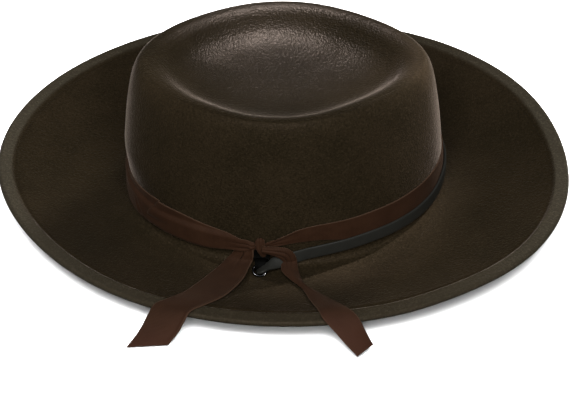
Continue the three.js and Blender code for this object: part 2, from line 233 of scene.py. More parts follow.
def grosgrainFinish(colours, weave, ribbonWidth):
    # ribs as a sine of the place along the ribbon, threads drawn out across it, a paler woven edge,
    # painted light where the ends hang out at the near side, paler and pinker there
    cloth = Finish("grosgrain")
    spot = cloth.flat()
    parts = [cloth.add("ShaderNodeSeparateXYZ", None, {0: spot}, axis) for axis in (0, 1)]
    wave = parts[0] * (2 * math.pi / weave["pitch"])
    rib = cloth.add("ShaderNodeMath", {"operation": "SINE"}, {0: wave}) * 0.5 + 0.5
    cloud = cloth.noise(spot, 90, 3)
    thread = cloth.noise(cloth.flat((1, 9, 1)), 420, 3, 0.6)
    edge = cloth.add("ShaderNodeMath", {"operation": "ABSOLUTE"}, {0: parts[1] - ribbonWidth / 2})
    edge = cloth.ramp(edge, ribbonWidth / 2 - weave["edgeFrom"], ribbonWidth / 2 - weave["edgeTo"])
    nearSide = cloth.add("ShaderNodeSeparateXYZ", None, {0: cloth.place()}, 1) * -1
    # painted light: paler and pinker towards the near side, where the ends hang out
    paintedNearLight = cloth.ramp(nearSide, weave["fadeFrom"], weave["fadeTo"])
    colour = cloth.mix(cloth.ramp(cloud, 0.3, 0.7), colours["dark"], colours["brown"])
    colour = cloth.mix(rib * weave["ribShare"], colour, colours["rib"])
    colour = cloth.mix(cloth.ramp(thread, 0.55, 0.8) * weave["threadShare"], colour, colours["thread"])
    colour = cloth.mix(edge * (0.10 + rib * weave["ribShare"]), colour, colours["edge"])
    colour = cloth.mix(paintedNearLight * weave["paintedNearLightShare"], colour, colours["paintedNearLight"])
    ridge = cloth.bump(rib, weave["ribHeight"], 0.6)
    ridge = cloth.bump(thread, weave["threadHeight"], 0.5, ridge)
    return cloth.shade(Base_Color=colour, Roughness=weave["roughness"] - rib * 0.12, Normal=ridge,
                       Specular_IOR_Level=0.18, Sheen_Weight=0.05, Sheen_Roughness=0.35,
                       Sheen_Tint=colours["sheen"])


leatherTones = {
    "dark": 0.0085, "pale": 0.0135, "crack": 0.022, "warmth": 0.86,
    "cellScale": 1500, "grainHeight": 0.00012, "roughness": 0.46,
}


def leatherFinish(name, tones, level):
    # small rounded cells with paler cracks between them, over a cloudy grey; level darkens all of it, as
    # painted shade for a copy that lies in shadow
    hide = Finish(name)
    spot = hide.place()
    cells = hide.add("ShaderNodeTexVoronoi", {"feature": "SMOOTH_F1"},
                     {"Vector": spot, "Scale": tones["cellScale"]})
    cloud = hide.noise(spot, 140, 3)
    fine = hide.noise(spot, 2400, 2)
    dark, pale, crack = (rgb(tones[key] * level, tones[key] * level, tones[key] * level * tones["warmth"])
                         for key in ("dark", "pale", "crack"))
    colour = hide.mix(hide.ramp(cloud, 0.3, 0.7), dark, pale)
    colour = hide.mix(hide.ramp(cells, 0.0, 0.35) * 0.35, crack, colour)
    grain = hide.bump(cells + fine * 0.4, tones["grainHeight"], 0.5)
    return hide.shade(Base_Color=colour, Roughness=tones["roughness"] + cloud * 0.18, Normal=grain,
                      Specular_IOR_Level=0.5 * level)


metalColours = {"black": rgb(0.035, 0.035, 0.038), "worn": rgb(0.075, 0.073, 0.072)}


def ringFinish(colours):
    # black metal, a little paler and rougher where it is worn, with very fine scratches
    metal = Finish("black_metal")
    spot = metal.place()
    wear = metal.noise(spot, 700, 3)
    colour = metal.mix(metal.ramp(wear, 0.45, 0.7), colours["black"], colours["worn"])
    scratch = metal.bump(metal.noise(spot, 2600, 2), 0.00002, 0.4)
    return metal.shade(Base_Color=colour, Metallic=1.0, Roughness=0.12 + wear * 0.14, Normal=scratch)


# meshes from grids of points

def gridPiece(name, points, closedAlong=False, closedAcross=False, cut=None, caps=False):
    # point (i, j) of the grid joins (i+1, j), (i+1, j+1) and (i, j+1);
    # a closed way joins its last row to its first
    rows, columns = points.shape[:2]
    i = np.arange(rows if closedAlong else rows - 1)
    j = np.arange(columns if closedAcross else columns - 1)
    i, j = np.meshgrid(i, j, indexing="ij")
    i, j = i.ravel(), j.ravel()
    corner = [(i, j), (i + 1, j), (i + 1, j + 1), (i, j + 1)]
    faces = np.stack([(a % rows) * columns + b % columns for a, b in corner], axis=1)
    loops = faces.ravel()
    sizes = np.full(len(faces), 4)
    if caps:
        first = np.arange(columns)[::-1]
        last = (rows - 1) * columns + np.arange(columns)
        loops = np.concatenate([loops, first, last])
        sizes = np.concatenate([sizes, [columns, columns]])
    mesh = bpy.data.meshes.new(name)
    mesh.vertices.add(rows * columns)
    mesh.vertices.foreach_set("co", points.reshape(-1).astype(np.float32))
    mesh.loops.add(len(loops))
    mesh.loops.foreach_set("vertex_index", loops.astype(np.int32))
    mesh.polygons.add(len(sizes))
    mesh.polygons.foreach_set("loop_start", (np.cumsum(sizes) - sizes).astype(np.int32))
    mesh.polygons.foreach_set("use_smooth", np.ones(len(sizes), bool))
    if cut is not None:   # lengths along and across the cloth as it was cut, for the pattern
        along, across = cut
        pairs = np.stack([np.stack([along[a], across[b]], axis=1) for a, b in corner], axis=1)
        layer = mesh.uv_layers.new(name="cut")
        layer.data.foreach_set("uv", pairs.astype(np.float32).ravel())
    mesh.update(calc_edges=True)
    mesh.validate()
    piece = bpy.data.objects.new(name, mesh)
    bpy.context.scene.collection.objects.link(piece)
    return piece


def outward(piece):
    # turns every face when the body's signed volume comes out negative
    mesh = piece.data
    mesh.calc_loop_triangles()
    count = len(mesh.loop_triangles)
    corners = np.empty(count * 3, np.int32)
    mesh.loop_triangles.foreach_get("vertices", corners)
    co = np.empty(len(mesh.vertices) * 3, np.float32)
    mesh.vertices.foreach_get("co", co)
    a, b, c = co.reshape(-1, 3)[corners.reshape(-1, 3)].transpose(1, 0, 2).astype(float)
    if np.einsum("ij,ij->i", a, np.cross(b, c)).sum() < 0:
        mesh.flip_normals()
    return piece


def closePoles(piece, reach=0.000002):
    # the points of a loop that has shrunk to one place become one point
    body = bmesh.new()
    body.from_mesh(piece.data)
    bmesh.ops.remove_doubles(body, verts=body.verts, dist=reach)
    body.to_mesh(piece.data)
    body.free()
    return piece


def lengthAlong(points):
    # running sum of the chords between neighbouring points
    steps = np.linalg.norm(np.diff(points, axis=0), axis=1)
    return np.concatenate([[0.0], np.cumsum(steps)])


def hermite(t, gap, start, end, startSlope, endSlope):
    # the cubic with these values and slopes at t = 0 and t = 1
    return (start * (2 * t**3 - 3 * t**2 + 1) + end * (3 * t**2 - 2 * t**3)
            + startSlope * gap * (t**3 - 2 * t**2 + t) + endSlope * gap * (t**3 - t**2))


def smoothCurve(knots, perStep):
    # cubic through the knots (axis 0), its slope at each one that of the chord between its neighbours
    knots = np.asarray(knots, float)
    flatKnots = knots.reshape(len(knots), -1)
    gaps = np.linalg.norm(np.diff(flatKnots, axis=0), axis=1) ** 0.5
    at = np.concatenate([[0.0], np.cumsum(gaps)])
    slope = np.empty_like(flatKnots)
    slope[1:-1] = (flatKnots[2:] - flatKnots[:-2]) / (at[2:] - at[:-2])[:, None]
    slope[0] = (flatKnots[1] - flatKnots[0]) / gaps[0]
    slope[-1] = (flatKnots[-1] - flatKnots[-2]) / gaps[-1]
    part = np.arange((len(knots) - 1) * perStep + 1) / perStep
    index = np.minimum(part.astype(int), len(knots) - 2)
    line = hermite((part - index)[:, None], gaps[index][:, None], flatKnots[index], flatKnots[index + 1],
                   slope[index], slope[index + 1])
    return line.reshape((len(part),) + knots.shape[1:])


def tableAt(rows, key, angle, closed=True, usual=0.0):
    # cubic through the table's rows, round the hat or from its first row to its last
    at = np.radians([row["angle"] for row in rows])
    value = np.array([row.get(key, usual) for row in rows], float)
    if closed:
        turn = 2 * np.pi
        angle = (angle - at[0]) % turn + at[0]
        at = np.concatenate([at[-1:] - turn, at, at[:2] + turn])
        value = np.concatenate([value[-1:], value, value[:2]])
    else:
        angle = np.clip(angle, at[0], at[-1])
    slope = np.empty_like(value)
    slope[1:-1] = (value[2:] - value[:-2]) / (at[2:] - at[:-2])
    slope[0] = (value[1] - value[0]) / (at[1] - at[0])
    slope[-1] = (value[-1] - value[-2]) / (at[-1] - at[-2])
    index = np.clip(np.searchsorted(at, angle, side="right") - 1, 0, len(at) - 2)
    gap = at[index + 1] - at[index]
    return hermite((angle - at[index]) / gap, gap, value[index], value[index + 1],
                   slope[index], slope[index + 1])


def ease(value, low, high):
    # smooth step from 0 at low to 1 at high
    t = np.clip((value - low) / (high - low), 0, 1)
    return t * t * (3 - 2 * t)


# felt hat

felt = {
    "length": 0.204, "width": 0.174, "height": 0.0965,
    "rimInset": 0.0145, "recess": 0.015, "cornerDraw": 0.005,
    "thickness": 0.0022, "footRadius": 0.005, "footRise": 0.009, "riseFrom": 0.35,
    "pinch": 0.004, "pinchFrom": 0.0154, "pinchTo": 0.044,
    "restRing": 0.007, "brim": 0.080, "brimCurl": 1.3, "strip": 0.0105,
    "stripStep": 0.0012, "stepWide": 0.0022,
    "grooveDepth": 0.0005, "grooveWide": 0.0010, "grooveStart": 0.0023,
    "wallStart": 0.0165,   # height where the crown's table takes over from the straight part above the foot
    "waves": 0.00035,
    "around": 320, "loops": {"crown": 8, "foot": 6, "brim": 36, "step": 14, "strip": 8, "under": 24},
}
crownRows = rowsOf("inset height", [   # share of the rim's inset, share of the height
    (0, 0),
    (0.02, 0.2),
    (0.07, 0.38),
    (0.2, 0.6),
    (0.36, 0.77),
    (0.5, 0.88),
    (0.66, 0.95),
    (0.84, 0.99),
    (1.04, 1),
])
# share of the way from the rim's top to the middle, share of the recess's depth
recessRows = rowsOf("way depth", [
    (0.06, 0.04),
    (0.12, 0.18),
    (0.19, 0.43),
    (0.26, 0.64),
    (0.36, 0.82),
    (0.48, 0.925),
    (0.65, 0.985),
    (0.82, 1),
    (1, 1),
])
cornerRows = rowsOf("angle draw", [   # how far the rim is drawn in between the hat's ends and its sides
    (0, 0),
    (45, 1.15),
    (90, 0.1),
    (135, 0.8),
    (180, 0),
    (225, 0.6),
    (270, 0),
    (315, 1.3),
])
# share of the brim's width, its slope and the strip's in degrees
brimRows = rowsOf("angle width slope strip", [
    (0, 1.01, 7, 2),
    (30, 0.985, 20, 3),
    (60, 0.96, 29.2, 4),
    (90, 1.02, 25, 2),
    (120, 1.08, 19, 0),
    (150, 1.08, 15, 2),
    (180, 1.035, 13, 4),
    (210, 0.94, 10, 0),
    (240, 0.93, 9, -6),
    (270, 0.96, 10, -12),
    (300, 1, 10, -8),
    (330, 1.035, 6, -2),
])

halfLength, halfWidth, thick = felt["length"] / 2, felt["width"] / 2, felt["thickness"]


def crownLine():
    # inset along the hat, inset across it, height and share of the corners' draw,
    # from the table that the hat lies on to the middle of its top
    knots = [(felt["rimInset"] * row["inset"],) * 2 + (felt["height"] * row["height"], min(1, row["inset"]))
             for row in crownRows]
    crest = knots[-1][0]
    for row in recessRows:
        long = halfLength - (halfLength - crest) * (1 - row["way"])
        wide = halfWidth - (halfWidth - crest) * (1 - row["way"])
        knots.append((long, wide, felt["height"] - felt["recess"] * row["depth"], 1 - row["way"]))
    return smoothCurve(knots, felt["loops"]["crown"])


crown = crownLine()
wallPart = crown[:np.argmax(crown[:, 2]) + 1]


def cornerAt(angle):
    # how far the rim is drawn in at an angle
    return felt["cornerDraw"] * np.maximum(0, tableAt(cornerRows, "draw", angle))


def placed(x, y, height):
    return np.stack(np.broadcast_arrays(x, y, height), axis=-1) + hatMiddle


def spread(angle, out, height):
    # the point at an angle, a distance out from the foot's oval, at a height
    return placed((halfLength + out) * np.cos(angle), (halfWidth + out) * np.sin(angle), height)


def footHeight(angle):
    # the felt's thickness, and a rise towards the back of the hat
    back = np.maximum(0, (np.cos(angle) - felt["riseFrom"]) / (1 - felt["riseFrom"]))
    return thick + felt["footRise"] * back**1.5


def pinchAt(angle, height):
    # the wall is drawn in low down at the front
    front = np.maximum(0, -np.cos(angle)) ** 4
    return felt["pinch"] * front * (1 - ease(height, felt["pinchFrom"], felt["pinchTo"]))


def wallOut(angle, height):
    # minus the table's inset, the corners' draw and the pinch
    drawn = cornerAt(angle) * np.interp(height, wallPart[:, 2], wallPart[:, 3])
    return -np.interp(height, wallPart[:, 2], wallPart[:, 0]) - drawn - pinchAt(angle, height)


def brimShape(angle):
    # run and rise of the brim to the strip's start, the strip's slope, and the run to the strip's end
    width = felt["brim"] * tableAt(brimRows, "width", angle)
    slope = np.radians(tableAt(brimRows, "slope", angle))
    strip = np.radians(tableAt(brimRows, "strip", angle))
    run = (width - felt["strip"]) * np.cos(slope)
    rise = (width - felt["strip"]) * np.sin(slope)
    return run, rise, strip, run + felt["strip"] * np.cos(strip)


def brimTop(angle, out):
    # foot's height plus the rise times a power of the share of the way out, then straight on over the strip
    run, rise, strip, _ = brimShape(angle)
    start = felt["footRadius"] + felt["restRing"]
    share = np.clip((out - start) / (run - start), 0, 1)
    return footHeight(angle) + rise * share ** felt["brimCurl"] + np.maximum(0, out - run) * np.tan(strip)


def stripLift(angle, out):
    # a soft step where the folded strip begins, a shallow groove before it, a slow rise to the fold behind it
    past = out - brimShape(angle)[0]
    rise = (thick - felt["stripStep"]) * np.clip(past / felt["strip"], 0, 1) ** 2
    groove = felt["grooveDepth"] * np.exp(-((past + felt["grooveWide"] / 2) / felt["grooveWide"]) ** 2)
    return felt["stripStep"] * ease(past, -0.0002, felt["stepWide"]) + rise - groove


def onFelt(angle, up, lift):
    # up is the way up the felt from the foot's round, negative over the brim; lift is off the felt
    angle, up, lift = np.broadcast_arrays(angle, up, lift)
    radius = felt["footRadius"]
    foot = footHeight(angle)
    arc = radius * np.pi / 2
    out = radius - np.minimum(up, 0)
    brim = spread(angle, out, brimTop(angle, out) + stripLift(angle, out) + lift)
    turn = np.pi / 2 - np.clip(up, 0, arc) / radius
    top = wallOut(angle, foot + radius)
    low = spread(angle, radius - (radius - lift) * np.cos(turn) + top * np.cos(turn),
                 foot + radius - (radius - lift) * np.sin(turn))
    height = foot + radius + up - arc
    wall = spread(angle, wallOut(angle, height) + lift, height)
    return np.where((up < 0)[..., None], brim, np.where((up < arc)[..., None], low, wall))


def unevenness(angle, height, out):
    # slow hand-made waves, faded out round the ribbon
    wave = (0.5 * np.sin(2 * angle + 0.6) + 0.35 * np.sin(3 * angle + 2.1 + 30 * height)
            + 0.25 * np.sin(7 * angle + 1.3 - 45 * height) + 0.2 * np.sin(11 * angle + 60 * out))
    return felt["waves"] * wave * np.maximum(ease(height, 0.045, 0.07), ease(out, 0.02, 0.05))


aboveFoot = crown[:, 2] > felt["wallStart"]


def topAndWall(angle):
    # ovals down the crown's line, from the middle of the top: the wave goes up and down on the top,
    # in and out on the wall, and the last ovals bring the wall straight down to the foot's round
    loops = []
    for long, wide, height, corner in crown[aboveFoot][::-1]:
        wave = unevenness(angle, height, 0 * angle) * ease(halfWidth - wide, 0.0, 0.06)
        pull = pinchAt(angle, height) + corner * cornerAt(angle)
        onTop = wide > felt["rimInset"]
        x = np.maximum(0, halfLength - long - pull) + wave * (not onTop)
        y = np.maximum(0, halfWidth - wide - pull) + wave * (not onTop)
        loops.append(placed(x * np.cos(angle), y * np.sin(angle), height + wave * onTop))
    top = footHeight(angle) + felt["footRadius"]
    for part in np.linspace(1, 0, felt["loops"]["foot"])[1:]:
        height = top + (felt["wallStart"] - top) * part
        loops.append(spread(angle, wallOut(angle, height), height))
    return loops


def footRound(angle, radius, degrees):
    # quarter circle about the line where the wall meets the brim, its turn counted from the wall
    centre = footHeight(angle) + felt["footRadius"]
    wall = wallOut(angle, centre)
    return [spread(angle, felt["footRadius"] - (radius - wall) * np.cos(turn), centre - radius * np.sin(turn))
            for turn in np.radians(degrees)]


def brimFace(angle):
    # the brim's upper face: plain as far as the groove, then close loops over the step, then the strip
    run, _, _, reach = brimShape(angle)
    radius, step = felt["footRadius"], felt["stepWide"]
    near, end = run - felt["grooveStart"] - 0.0002, reach - thick
    wave = unevenness(angle, 0 * reach, reach)
    loops = []
    for part in np.linspace(0, 1, felt["loops"]["brim"])[1:]:
        out = radius + (near - radius) * part
        loops.append(spread(angle, out, brimTop(angle, out) + unevenness(angle, 0 * out, out)))
    outs = [run + past for past in np.linspace(-felt["grooveStart"], step, felt["loops"]["step"])]
    outs += [run + step + (end - run - step) * part for part in np.linspace(0, 1, felt["loops"]["strip"])[1:]]
    return loops + [spread(angle, out, brimTop(angle, out) + stripLift(angle, out) + wave) for out in outs]


def foldedEdge(angle):
    # half a turn round the strip's outer edge, from its upper face to the underside
    end = brimShape(angle)[3] - thick
    wave = unevenness(angle, 0 * end, end + thick)
    loops = []
    for turn in np.radians(np.arange(15, 181, 15)):
        below = (thick - stripLift(angle, end)) * np.cos(turn / 2) ** 2
        loops.append(spread(angle, end + thick * np.sin(turn),
                            brimTop(angle, end) + thick * np.cos(turn) - below + wave))
    return loops


def underside(angle):
    # the brim's upper face less the thickness, never below the table, from the edge in to the foot
    radius, reach = felt["footRadius"], brimShape(angle)[3]
    wave = unevenness(angle, 0 * reach, reach)
    loops = []
    for part in np.linspace(1, 0, felt["loops"]["under"])[1:]:
        out = radius + (reach - thick - radius) * part
        lift = wave * ease(out, radius, reach)
        loops.append(spread(angle, out, np.maximum(0, brimTop(angle, out) - thick + lift)))
    return loops


def insideOfCrown(angle):
    # every third oval of the crown's line, moved in by the thickness square to that line
    slope = np.gradient(crown[:, :3], axis=0)
    slope /= np.linalg.norm(slope[:, 1:], axis=1)[:, None]
    chosen = np.append(np.flatnonzero(aboveFoot)[:-2:3], len(crown) - 1)
    loops = []
    for (long, wide, height, corner), (_, fall, inwards) in zip(crown[chosen], slope[chosen]):
        pull = pinchAt(angle, height) + corner * cornerAt(angle)
        x = np.maximum(0, halfLength - long - pull - inwards * thick)
        y = np.maximum(0, halfWidth - wide - pull - inwards * thick)
        loops.append(placed(x * np.cos(angle), y * np.sin(angle), height - abs(fall) * thick))
    return loops


def paintedLightOnStrip(angle, points):
    # painted light: how much paler the felt is painted, full on top of the strip at the hat's two ends, less
    # at its sides
    flat = points - hatMiddle
    out = ((flat[..., 0] - halfLength * np.cos(angle)) * np.cos(angle)
           + (flat[..., 1] - halfWidth * np.sin(angle)) * np.sin(angle))
    onTop = flat[..., 2] > brimTop(angle, out) - 0.4 * thick
    return ease(out - brimShape(angle)[0], 0.0002, 0.0026) * onTop * (0.35 + 0.65 * np.cos(angle) ** 2)


def feltHat():
    # one closed skin of loops round the hat: over the top, down the wall, out along the brim and back inside
    angle = np.linspace(0, 2 * np.pi, felt["around"], endpoint=False)
    radius = felt["footRadius"]
    points = np.array(topAndWall(angle) + footRound(angle, radius, np.arange(10, 91, 10)) + brimFace(angle)
                      + foldedEdge(angle) + underside(angle)
                      + footRound(angle, radius + thick, np.arange(75, -1, -15)) + insideOfCrown(angle))
    piece = gridPiece("felt_hat", points, closedAcross=True)
    layer = piece.data.attributes.new("pale", "FLOAT", "POINT")
    # painted light on the strip's top, kept in the pale attribute
    layer.data.foreach_set("value", paintedLightOnStrip(angle, points).astype(np.float32).ravel())
    return outward(closePoles(piece))


def finishPiece(piece, material, slot, *nodes):
    # material, body, slot (not used) and the nodes that the piece stands for
    piece.data.materials.append(material)
    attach(piece, "root")
    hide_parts(*nodes)
    return piece


hat = finishPiece(feltHat(), feltFinish(woolColours, woolNap), "felt", "felt_body")
print("hat: felt", len(hat.data.polygons), "faces")


# ribbon round the crown

ribbon = {
    "width": 0.022, "thickness": 0.0006, "clearance": 0.0003, "around": 900, "across": 25,
    "knot": math.radians(261.6), "foldHeight": 0.0011, "hemHeight": 0.0009, "lumpHeight": 0.0016,
    "lapFoot": math.radians(210.3), "lapSlant": math.radians(10.9), "lapHeight": 0.0012,   # its covered end
    "creases": math.radians(207), "creaseHeight": 0.0009, "creaseSpread": 0.06, "slack": 0.00018,
    "folds": 2.6, "foldSpread": 0.13, "lumpAt": -0.04, "lumpSpread": 0.016,
}
ribbonRows = rowsOf("angle low high", [   # the ribbon's lower and upper edge, up the felt in ribbon widths
    (0, 0.4, 1.24),
    (60, 0.3, 1.25),
    (120, 0.25, 1.22),
    (180, 0.22, 1.22),
    (203, 0.24, 1.24),
    (225, 0.37, 1.3),
    (240, 0.42, 1.16),
    (251.6, 0.546, 1.018),
    (257, 0.56, 0.91),
    (260, 0.58, 0.81),
    (262, 0.64, 0.785),
    (263.6, 0.70, 0.80),
    (265.6, 0.705, 0.885),
    (267.6, 0.735, 0.975),
    (270.4, 0.77, 1.085),
    (275.8, 0.845, 1.27),
    (284, 0.85, 1.37),
    (301, 0.6, 1.4),
    (315, 0.3, 1.34),
    (335, 0.32, 1.26),
])
strap = {
    "width": 0.008, "thickness": 0.0018, "around": 700,
    "fadeFrom": math.radians(254), "fadeTo": math.radians(262),   # where it stops lifting the ribbon
}
strapRows = [   # middle and wide place the edges, in strap widths up the felt; up is off the felt in mm
    {"angle": -98.0, "middle": -0.82, "wide": 1.24, "up": 0.6, "slim": 0.95},
    {"angle": -97.4, "middle": -0.86, "wide": 1.25, "up": 1.3, "slim": 1.05},
    {"angle": -96.7, "middle": -0.97, "wide": 1.27, "up": 2.4, "slim": 1.15},
    {"angle": -95.8, "middle": -0.98, "wide": 1.3, "up": 3.4, "slim": 1.2},
    {"angle": -94.9, "middle": -0.72, "wide": 1.5, "up": 3.6, "slim": 1.2},
    {"angle": -94.1, "middle": -0.1, "wide": 2.1, "up": 3.2, "slim": 1.15},
    {"angle": -92.9, "middle": 0.19, "wide": 1.93, "up": 2.1, "slim": 1.1},
    {"angle": -91.3, "middle": 0.44, "wide": 1.65, "up": 1.3, "slim": 1.05},
    {"angle": -89.3, "middle": 0.68, "wide": 1.42, "up": 0.7},
    {"angle": -87.3, "middle": 0.905, "wide": 1.16, "up": 0.4},
    {"angle": -84.5, "middle": 1.12, "over": 0.1, "up": 0.2},
    {"angle": -80, "middle": 1.42, "over": 1, "under": 0},
    {"angle": -70, "middle": 1.68, "over": 1, "under": 0},
    {"angle": -60, "middle": 1.75, "over": 1, "under": 0},
    {"angle": -48, "middle": 1.6, "over": 1, "under": 0},
    {"angle": -36, "middle": 1.45, "over": 1, "under": 0},
    {"angle": -24, "middle": 1.4, "over": 1, "under": 0},
    {"angle": -10, "middle": 1.7, "over": 1, "under": 0},
    {"angle": 30, "middle": 2.2, "over": 1, "under": 0},
    {"angle": 90, "middle": 2.5, "over": 1, "under": 0},
    {"angle": 112, "middle": 3.2, "over": 1, "under": 0},
    {"angle": 128, "middle": 4.2, "over": 1, "under": 0},
    {"angle": 146, "middle": 4.2, "over": 0, "under": 0},
    {"angle": 154, "middle": 3.9, "over": 0, "under": 1},
    {"angle": 175, "middle": 2.2, "over": 0, "under": 1},
    {"angle": 200, "middle": 1.9, "over": 0, "under": 1},
    {"angle": 240, "middle": 1.95, "over": 0, "under": 1},
    {"angle": 250, "middle": 1.95, "over": 0, "under": 1},
]


def strapPush(angle, up):
    # how far the strap beneath it lifts the ribbon off the felt: its thickness,
    # eased out past its edges and past its end
    turn = np.where(angle > strap["fadeTo"], angle - 2 * np.pi, angle)
    under = ease(tableAt(strapRows, "under", turn, False), 0, 0.4)
    middle = strap["width"] * tableAt(strapRows, "middle", turn, False)
    end = np.where(angle > np.pi, 1 - ease(angle, strap["fadeFrom"], strap["fadeTo"]), 1)
    near = 1 - ease(np.abs(up - middle), strap["width"] * 0.6, strap["width"] * 1.0)
    return (strap["thickness"] + ribbon["clearance"]) * under * near * end


def ribbonPleats(angle, share):
    # share runs from the lower edge to the upper one; folds spread from the knot, round on top and sharp in
    # their valleys, beside a turned hem and the knot's lump
    away = angle - ribbon["knot"]
    gathered = np.exp(-(away / ribbon["foldSpread"]) ** 2)
    folds = gathered * np.abs(np.sin(np.pi * (share * ribbon["folds"] + 0.25 + 2 * np.abs(away)))) ** 0.7
    hem = ease(away, 0.03, 0.06) * (1 - ease(away, 0.12, 0.30)) * ease(share, 0.80, 0.86)
    lump = np.exp(-((away - ribbon["lumpAt"]) / ribbon["lumpSpread"]) ** 2) * np.sin(np.pi * share)
    # the ribbon's end lies over its start along a slanting cut, with small creases left of it
    past = angle - ribbon["lapFoot"] - ribbon["lapSlant"] * share
    lapped = ease(past, -0.003, 0.004) * (1 - ease(past, 0.04, 0.25)) * ease(share, 0.36, 0.46)
    across = ((share - 0.35) / 0.22) ** 2
    creases = np.exp(-((angle - ribbon["creases"]) / ribbon["creaseSpread"]) ** 2 - across)
    creases = creases * np.abs(np.sin(38 * angle + 9 * share))
    return (ribbon["foldHeight"] * folds + ribbon["hemHeight"] * hem + ribbon["lumpHeight"] * lump
            + ribbon["lapHeight"] * lapped + ribbon["creaseHeight"] * creases)


def ribbonBand():
    # on the felt between the table's two edges, lifted by the clearance, the strap beneath, pleats and slack
    angle = np.linspace(0, 2 * np.pi, ribbon["around"], endpoint=False)[:, None]
    share = np.linspace(0, 1, ribbon["across"])[None, :]
    low = ribbon["width"] * tableAt(ribbonRows, "low", angle)
    high = ribbon["width"] * tableAt(ribbonRows, "high", angle)
    up = low + (high - low) * share
    slack = ribbon["slack"] * np.sin(9 * angle + 1.7) * np.sin(np.pi * share)
    lift = ribbon["clearance"] + strapPush(angle, up) + ribbonPleats(angle, share) + np.maximum(0, slack)
    points = onFelt(angle, up, lift)
    middle = points[:, ribbon["across"] // 2]
    along = lengthAlong(np.concatenate([middle, middle[:1]]))
    across = np.linspace(0, ribbon["width"], ribbon["across"])
    return gridPiece("ribbon_round_crown", points, closedAlong=True, cut=(along, across)), along[-1]


def thicken(piece, thickness, offset=1.0):
    # offset 1 lays the thickness on the faces' outer side
    layer = piece.modifiers.new("thickness", "SOLIDIFY")
    layer.thickness = thickness
    layer.offset = offset
    layer.use_even_offset = False
    return piece


grosgrain = grosgrainFinish(ribbonColours, ribbonWeave, ribbon["width"])
band, bandLength = ribbonBand()
thicken(band, ribbon["thickness"])
finishPiece(band, grosgrain, "ribbon", "ribbon_band")
print("hat: ribbon, mm", round(bandLength * 1000))


# leather strap

def roundedStrip(width, thickness, count=28):
    # superellipse of the strap's width and thickness, its lower face at 0
    turn = np.linspace(0, 2 * np.pi, count, endpoint=False)
    c, s = np.cos(turn), np.sin(turn)
    return (width / 2 * np.sign(c) * np.abs(c) ** 0.35, thickness / 2 * (1 + np.sign(s) * np.abs(s) ** 0.6))


def leatherStrap():
    # between the two edges laid on the felt: middle + across the strip + off its face
    first, last = math.radians(strapRows[0]["angle"]), math.radians(strapRows[-1]["angle"])
    angle = np.linspace(first, last, strap["around"])[:, None]
    middle = strap["width"] * tableAt(strapRows, "middle", angle, False)
    over = np.clip(tableAt(strapRows, "over", angle, False), 0, 1)
    free = mm * np.maximum(0, tableAt(strapRows, "up", angle, False))
    lift = ribbon["clearance"] + over * (ribbon["thickness"] + ribbon["clearance"]) + free
    half = strap["width"] / 2 * np.maximum(1, tableAt(strapRows, "wide", angle, False, 1.0))
    top, low = onFelt(angle, middle + half, lift)[:, 0], onFelt(angle, middle - half, lift)[:, 0]
    side = (top - low) / np.linalg.norm(top - low, axis=1, keepdims=True)
    centre = (top + low) / 2
    face = np.cross(side, np.gradient(centre, axis=0))
    face /= np.linalg.norm(face, axis=1, keepdims=True)
    face *= np.where((face * (centre - hatMiddle)).sum(axis=1, keepdims=True) < 0, -1, 1)
    across, off = roundedStrip(strap["width"], strap["thickness"])
    slim = tableAt(strapRows, "slim", angle, False, 1.0)
    points = (centre[:, None] + side[:, None] * (slim * across[None, :])[..., None]
              + face[:, None] * off[None, :, None])
    piece = gridPiece("leather_band", points, closedAcross=True, caps=True)
    return outward(piece)


finishPiece(leatherStrap(), leatherFinish("strap_leather", leatherTones, 1), "leather", "leather_strap")
print("hat: strap")


# free ends of the ribbon

tail = {
    "liftStep": 0.0008, "across": 31, "perRow": 14, "facing": np.array([0, -0.83, 0.56]),
    "hemAt": 0.97, "creaseAt": 0.52, "markWide": 0.035,   # shares of the width
    "creaseLong": 0.016,
}
tailLeftRows = [   # edge A is the left one; up in brim widths, lift in lift steps, hang in foot rises
    {"angleA": 253.6, "upA": 0.150, "angleB": 259.9, "upB": 0.172, "lift": 0.4, "liftB": 1.6},
    {"angleA": 252.6, "upA": 0.110, "angleB": 260.1, "upB": 0.125, "lift": 0.9, "liftB": 2.9},
    {"angleA": 250.7, "upA": 0.031, "angleB": 259.7, "upB": 0.035, "lift": 1.3, "liftB": 2.4},
    {"angleA": 249.6, "upA": -0.075, "angleB": 259.1, "upB": -0.08, "lift": 0.9, "liftB": 1.6},
    {"angleA": 248.7, "upA": -0.2, "angleB": 258.9, "upB": -0.21, "lift": 0.7, "liftB": 1.4},
    {"angleA": 248, "upA": -0.39, "angleB": 257.7, "upB": -0.40, "lift": 0.7, "liftB": 1},
    {"angleA": 247.3, "upA": -0.58, "angleB": 256.3, "upB": -0.57, "lift": 0.7},
    {"angleA": 246, "upA": -0.76, "angleB": 254, "upB": -0.73, "lift": 0.7},
    {"angleA": 244.4, "upA": -0.86, "angleB": 252, "upB": -0.86, "lift": 0.9},
    {"angleA": 244.2, "upA": -0.95, "angleB": 251.4, "upB": -0.93, "hang": 1.2},
    {"angleA": 243.8, "upA": -1.08, "angleB": 250.5, "upB": -1, "hang": 0.5},
    {"angleA": 243.3, "upA": -1.22, "angleB": 249.5, "upB": -1.08, "hang": 0.05},
]
